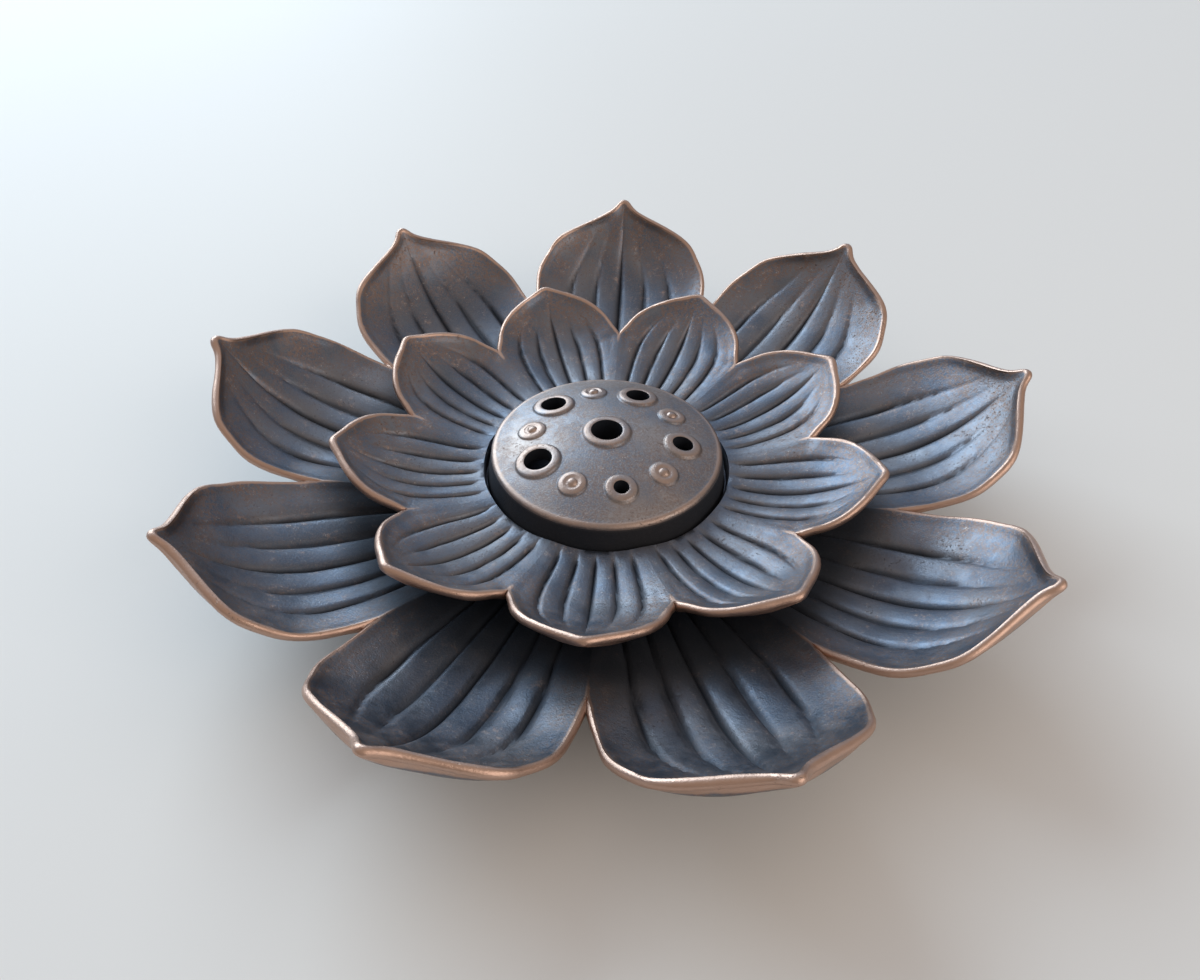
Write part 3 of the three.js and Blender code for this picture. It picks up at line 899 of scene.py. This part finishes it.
def tidy_mesh(obj):
    """Welds doubles and turns every face outwards."""
    work = bmesh.new()
    work.from_mesh(obj.data)
    bmesh.ops.remove_doubles(work, verts=work.verts, dist=DOUBLE_DISTANCE * MM)
    bmesh.ops.recalc_face_normals(work, faces=work.faces)
    work.to_mesh(obj.data)
    work.free()


def base_pad(material):
    """Round pad with a softly rounded edge, stuck to the foot."""
    pad = Casting()
    ring = circle(ROUND_STEPS)
    profile = [(PAD_MIDDLE, 0), (PAD_RADIUS / 2, 0)]
    for share in np.linspace(0, 1, 5):
        turn = share * math.pi / 2
        radius = PAD_RADIUS - PAD_BEVEL + PAD_BEVEL * math.sin(turn)
        profile.append((radius, PAD_BEVEL - PAD_BEVEL * math.cos(turn)))
    profile += [
        (PAD_RADIUS, PAD_THICKNESS - PAD_TOP_EDGE),
        (PAD_RADIUS - PAD_TOP_EDGE, PAD_THICKNESS),
        (PAD_MIDDLE, PAD_THICKNESS),
    ]
    rings = [pad.add_points(level_ring(ring, radius, height)) for radius, height in profile]
    pad.add_grid(np.stack(rings), closed=True, flip=True)
    pad.faces.append(rings[0][::-1].tolist())
    pad.faces.append(rings[-1].tolist())
    disc = pad.make_object("anti_slip_pad")
    tidy_mesh(disc)
    disc.data.materials.append(material)
    crease(disc)
    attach(disc, BODY)
    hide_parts("base_pad")


# Finishes

def new_group(name, inputs, outputs):
    tree = bpy.data.node_groups.new(name, "ShaderNodeTree")
    for label, kind, value in inputs:
        node_input(tree, label, kind, value)
    for label, kind in outputs:
        tree.interface.new_socket(name=label, in_out="OUTPUT", socket_type=kind)
    return tree, tree.nodes.new("NodeGroupInput"), tree.nodes.new("NodeGroupOutput")


def point_mask(tree, name):
    """A mask that a casting carries on its points."""
    node = tree.nodes.new("ShaderNodeAttribute")
    node.attribute_name = name
    return node.outputs["Fac"]


def noise(tree, vector, scale, detail, roughness, distortion=0.0):
    node = tree.nodes.new("ShaderNodeTexNoise")
    node.inputs["Detail"].default_value = detail
    node.inputs["Roughness"].default_value = roughness
    node.inputs["Distortion"].default_value = distortion
    node.inputs["Scale"].default_value = scale
    tree.links.new(vector, node.inputs["Vector"])
    return node.outputs["Fac"]


def math_node(tree, operation, first, second=None, third=None, clamp=False):
    node = tree.nodes.new("ShaderNodeMath")
    node.operation = operation
    node.use_clamp = clamp
    for i, value in enumerate((first, second, third)):
        if value is None:
            continue
        if isinstance(value, (int, float)):
            node.inputs[i].default_value = value
        else:
            tree.links.new(value, node.inputs[i])
    return node.outputs[0]


def remap(tree, value, low, high, out_low=0.0, out_high=1.0):
    node = tree.nodes.new("ShaderNodeMapRange")
    node.interpolation_type = "SMOOTHSTEP"
    tree.links.new(value, node.inputs["Value"])
    limits = {"From Min": low, "From Max": high, "To Min": out_low, "To Max": out_high}
    for label, number in limits.items():
        node.inputs[label].default_value = number
    return node.outputs["Result"]


def mix_colour(tree, share, first, second):
    node = tree.nodes.new("ShaderNodeMix")
    node.data_type = "RGBA"
    tree.links.new(share, node.inputs["Factor"])
    for label, value in (("A", first), ("B", second)):
        socket = next(s for s in node.inputs if s.name == label and s.type == "RGBA")
        if isinstance(value, tuple):
            socket.default_value = (*value, 1)
        else:
            tree.links.new(value, socket)
    return next(s for s in node.outputs if s.type == "RGBA")


def aged_copper_group():
    """Copper plate under a dark patina: bright where it is worn, nearly black where the veins run from
    patina and painted shade, and darkened with painted shade in the pod's hollows, on its wall and at the
    outer petals' roots.
    """
    inputs = [
        ("Patina", "NodeSocketColor", (0.1, 0.085, 0.08, 1)),
        ("Light patina", "NodeSocketColor", (0.2, 0.16, 0.14, 1)),
        ("Copper", "NodeSocketColor", (0.5, 0.33, 0.255, 1)),
        ("Brown", "NodeSocketColor", (0.22, 0.145, 0.115, 1)),
        ("Wear", "NodeSocketFloat", 1.0),
        ("Speckle", "NodeSocketFloat", 1.0),
    ]
    outputs = [
        ("Colour", "NodeSocketColor"),
        ("Roughness", "NodeSocketFloat"),
        ("Metallic", "NodeSocketFloat"),
        ("Height", "NodeSocketFloat"),
    ]
    tree, given, result = new_group("aged_copper", inputs, outputs)
    place = tree.nodes.new("ShaderNodeTexCoord").outputs["Object"]
    worn = point_mask(tree, "worn_edge")
    shaded = point_mask(tree, "vein_shade")
    touched = point_mask(tree, "handled")
    light_patina = given.outputs["Light patina"]
    speckle = given.outputs["Speckle"]

    clouds = noise(tree, place, 95, detail=5, roughness=0.6)
    patches = noise(tree, place, 330, detail=6, roughness=0.65, distortion=0.4)
    specks = noise(tree, place, 1500, detail=4, roughness=0.7)
    grains = noise(tree, place, 2900, detail=3, roughness=0.6)
    fine = noise(tree, place, 5200, detail=2, roughness=0.5)

    # Patina, browner where it stands high or is often touched, with copper showing through in specks
    tone = mix_colour(tree, remap(tree, clouds, 0.38, 0.66), given.outputs["Patina"], light_patina)
    grainy = remap(tree, grains, 0.36, 0.58)
    mottle = math_node(tree, "MULTIPLY", grainy, remap(tree, patches, 0.28, 0.56))
    height = tree.nodes.new("ShaderNodeSeparateXYZ")
    tree.links.new(place, height.inputs[0])
    raised = remap(tree, height.outputs["Z"], 7 * MM, 15 * MM, 0.15, 0.8)
    browned = math_node(tree, "MULTIPLY_ADD", touched, 0.45, raised, clamp=True)
    browned = math_node(tree, "MULTIPLY", browned, speckle, clamp=True)
    tone = mix_colour(tree, math_node(tree, "MULTIPLY", mottle, browned), tone, given.outputs["Brown"])
    rub = math_node(tree, "MULTIPLY", remap(tree, patches, 0.5, 0.74), remap(tree, specks, 0.46, 0.68))
    rub = math_node(tree, "MULTIPLY", rub, speckle, clamp=True)
    toned = mix_colour(tree, math_node(tree, "MULTIPLY", rub, 0.75), tone, given.outputs["Copper"])
    toned = mix_colour(tree, remap(tree, fine, 0.42, 0.66, 0, 0.45), toned, light_patina)
    # Painted glints: light specks that stand in for glints of light off the grain
    glint_grains = remap(tree, fine, 0.58, 0.68, 0, 0.5)
    painted_glints = math_node(tree, "MULTIPLY", glint_grains, remap(tree, specks, 0.5, 0.62))
    painted_glints = math_node(tree, "MULTIPLY", painted_glints, remap(tree, patches, 0.46, 0.58))
    toned = mix_colour(tree, painted_glints, toned, (0.5, 0.48, 0.46))

    # Bare copper on the worn edges
    scuffed = math_node(tree, "MULTIPLY_ADD", patches, 0.9, -0.45)
    edge = math_node(tree, "ADD", worn, scuffed)
    edge = math_node(tree, "MULTIPLY", remap(tree, edge, 0.42, 0.95), given.outputs["Wear"], clamp=True)
    edged = mix_colour(tree, edge, toned, given.outputs["Copper"])

    # Dark veins, hollows and pits: the veins by patina and painted shade, the pits cast, and the pod's
    # wall and holes, the feet of its lips and the outer petals' roots by painted shade, all in a painted
    # blue-black
    pits = math_node(tree, "MULTIPLY", remap(tree, grains, 0.61, 0.67), remap(tree, clouds, 0.52, 0.6))
    groove = remap(tree, shaded, 0.18, 0.95, 0, 0.8)
    groove = math_node(tree, "ADD", groove, remap(tree, shaded, 1.0, 1.8, 0, 0.16))
    groove = math_node(tree, "MAXIMUM", groove, math_node(tree, "MULTIPLY", pits, 0.4))
    colour = mix_colour(tree, groove, edged, (0.013, 0.018, 0.027))
    tree.links.new(colour, result.inputs["Colour"])

    rough = remap(tree, patches, 0.3, 0.7, 0.38, 0.55)
    rough = math_node(tree, "MULTIPLY_ADD", edge, -0.08, rough)
    rough = math_node(tree, "MULTIPLY_ADD", groove, 0.25, rough)
    tree.links.new(rough, result.inputs["Roughness"])
    metal = math_node(tree, "MULTIPLY_ADD", groove, -0.4, 0.95)
    tree.links.new(metal, result.inputs["Metallic"])
    grain = math_node(tree, "MULTIPLY_ADD", specks, 0.6, math_node(tree, "MULTIPLY", fine, 0.5))
    grain = math_node(tree, "MULTIPLY_ADD", patches, 0.5, grain)
    grain = math_node(tree, "MULTIPLY_ADD", pits, -0.7, grain)
    tree.links.new(grain, result.inputs["Height"])
    return tree


def new_material(name):
    material = bpy.data.materials.new(name)
    material.use_nodes = True
    tree = material.node_tree
    shader = next(n for n in tree.nodes if n.type == "BSDF_PRINCIPLED")
    return material, tree, shader


def add_relief(tree, shader, height, strength, distance):
    """Fine relief on a shader, from a height between 0 and 1."""
    bump = tree.nodes.new("ShaderNodeBump")
    bump.inputs["Strength"].default_value = strength
    bump.inputs["Distance"].default_value = distance * MM
    tree.links.new(height, bump.inputs["Height"])
    tree.links.new(bump.outputs["Normal"], shader.inputs["Normal"])


def copper_material(name, group, wear, speckle, patina, light_patina, copper):
    material, tree, shader = new_material(name)
    finish = tree.nodes.new("ShaderNodeGroup")
    finish.node_tree = group
    finish.inputs["Wear"].default_value = wear
    finish.inputs["Speckle"].default_value = speckle
    finish.inputs["Patina"].default_value = (*patina, 1)
    finish.inputs["Light patina"].default_value = (*light_patina, 1)
    finish.inputs["Copper"].default_value = (*copper, 1)
    tree.links.new(finish.outputs["Colour"], shader.inputs["Base Color"])
    tree.links.new(finish.outputs["Roughness"], shader.inputs["Roughness"])
    tree.links.new(finish.outputs["Metallic"], shader.inputs["Metallic"])
    shader.inputs["Specular IOR Level"].default_value = 0.3
    add_relief(tree, shader, finish.outputs["Height"], 0.45, 0.12)
    return material


def rubber_material():
    material, tree, shader = new_material("pad_rubber")
    place = tree.nodes.new("ShaderNodeTexCoord").outputs["Object"]
    cells = noise(tree, place, 2600, detail=3, roughness=0.6)
    colour = mix_colour(tree, cells, (0.02, 0.019, 0.018), (0.045, 0.042, 0.04))
    tree.links.new(colour, shader.inputs["Base Color"])
    tree.links.new(remap(tree, cells, 0.3, 0.7, 0.82, 0.95), shader.inputs["Roughness"])
    add_relief(tree, shader, cells, 0.4, 0.05)
    return material


def zinc_material():
    material, tree, shader = new_material("zinc_plate")
    place = tree.nodes.new("ShaderNodeTexCoord").outputs["Object"]
    grain = noise(tree, place, 900, detail=4, roughness=0.6)
    colour = mix_colour(tree, grain, (0.5, 0.5, 0.47), (0.68, 0.68, 0.66))
    tree.links.new(colour, shader.inputs["Base Color"])
    tree.links.new(remap(tree, grain, 0.3, 0.7, 0.25, 0.42), shader.inputs["Roughness"])
    shader.inputs["Metallic"].default_value = 1
    return material


def floor_material():
    material, _, shader = new_material("pale_floor")
    shader.inputs["Base Color"].default_value = (0.74, 0.71, 0.68, 1)
    shader.inputs["Roughness"].default_value = 0.6
    return material


# Studio

def plain_floor():
    mesh = bpy.data.meshes.new("floor")
    corners = [(x * FLOOR_REACH, y * FLOOR_REACH, 0) for x, y in ((-1, -1), (1, -1), (1, 1), (-1, 1))]
    mesh.from_pydata(corners, [], [(0, 1, 2, 3)])
    mesh.materials.append(floor_material())
    floor = link("floor", mesh)


def soft_light(name, place, size, watts, colour):
    """A rectangular lamp that faces the flower. Its place and size are in metres."""
    light = bpy.data.lights.new(name, "AREA")
    light.shape = "RECTANGLE"
    light.size, light.size_y = size
    light.energy = watts
    light.color = colour
    lamp = bpy.data.objects.new(name, light)
    lamp.location = place
    lamp.rotation_euler = (-Vector(place)).to_track_quat("-Z", "Y").to_euler()
    bpy.context.scene.collection.objects.link(lamp)


def along_axis(tree, direction, axis):
    """How far a direction points along an axis, from -1 to 1."""
    towards = tree.nodes.new("ShaderNodeVectorMath")
    towards.operation = "DOT_PRODUCT"
    towards.inputs[1].default_value = axis
    tree.links.new(direction, towards.inputs[0])
    return towards.outputs["Value"]


def studio():
    plain_floor()
    world = bpy.data.worlds.new("pale_room")
    world.use_nodes = True
    tree = world.node_tree
    background = tree.nodes["Background"]
    direction = tree.nodes.new("ShaderNodeTexCoord").outputs["Generated"]
    to_window = along_axis(tree, direction, (-0.5, 0.85, 0.1))
    upward = along_axis(tree, direction, (0, 0, 1))
    tint = mix_colour(tree, remap(tree, to_window, 0, 0.8), (0.66, 0.58, 0.51), (0.48, 0.59, 0.75))
    tree.links.new(tint, background.inputs["Color"])
    sideways = remap(tree, to_window, -0.3, 0.8, 0.78, 1.05)
    strength = math_node(tree, "MULTIPLY", sideways, remap(tree, upward, 0, 0.55, 0.55, 1))
    tree.links.new(strength, background.inputs["Strength"])
    bpy.context.scene.world = world
    soft_light("window", (-0.68, 0.8, 0.57), (1.15, 0.8), 15, (0.69, 0.87, 1))
    soft_light("fill", (0.75, -0.5, 0.42), (0.8, 0.8), 3.2, (1, 0.95, 0.9))


def photo_camera():
    camera = bpy.data.cameras.new("camera")
    camera.sensor_fit = "HORIZONTAL"
    camera.sensor_width = SENSOR_WIDTH
    camera.lens = FOCAL_PIXELS / PHOTO_WIDTH * SENSOR_WIDTH
    camera.shift_x = 0.5 - PHOTO_CENTRE_X / PHOTO_WIDTH
    camera.clip_start = 0.005
    camera.clip_end = 20
    holder = bpy.data.objects.new("camera", camera)
    heading = Matrix.Rotation(math.radians(CAMERA_HEADING), 4, "Z")
    tip = Matrix.Rotation(math.radians(90 - CAMERA_ELEVATION), 4, "X")
    roll = Matrix.Rotation(math.radians(CAMERA_ROLL), 4, "Z")
    place = Matrix.Translation(Vector(CAMERA_PLACE) * MM)
    holder.matrix_world = place @ heading @ tip @ roll
    bpy.context.scene.collection.objects.link(holder)
    bpy.context.scene.camera = holder


bpy.context.scene.view_settings.view_transform = "Standard"
photo_camera()
studio()

aged_copper = aged_copper_group()
# The petals' patina is tinted blue, a painted reflection of a cool window over the casting's own dark
# patina
petal_copper = copper_material(
    "petal_copper",
    aged_copper,
    wear=0.95,
    speckle=0.9,
    patina=(0.107, 0.13, 0.172),
    light_patina=(0.187, 0.19, 0.211),
    copper=(0.5, 0.33, 0.255),
)
pod_copper = copper_material(
    "pod_copper",
    aged_copper,
    wear=0.85,
    speckle=0.8,
    patina=(0.18, 0.187, 0.213),
    light_patina=(0.34, 0.285, 0.258),
    copper=(0.42, 0.3, 0.245),
)
outer_petals(petal_copper)
inner_petals(petal_copper)
seed_pod(pod_copper)
base_pad(rubber_material())

zinc = zinc_material()
for node in ("clamp_screw", "plain_washer"):
    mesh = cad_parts[node].data
    mesh.materials.clear()
    mesh.materials.append(zinc)
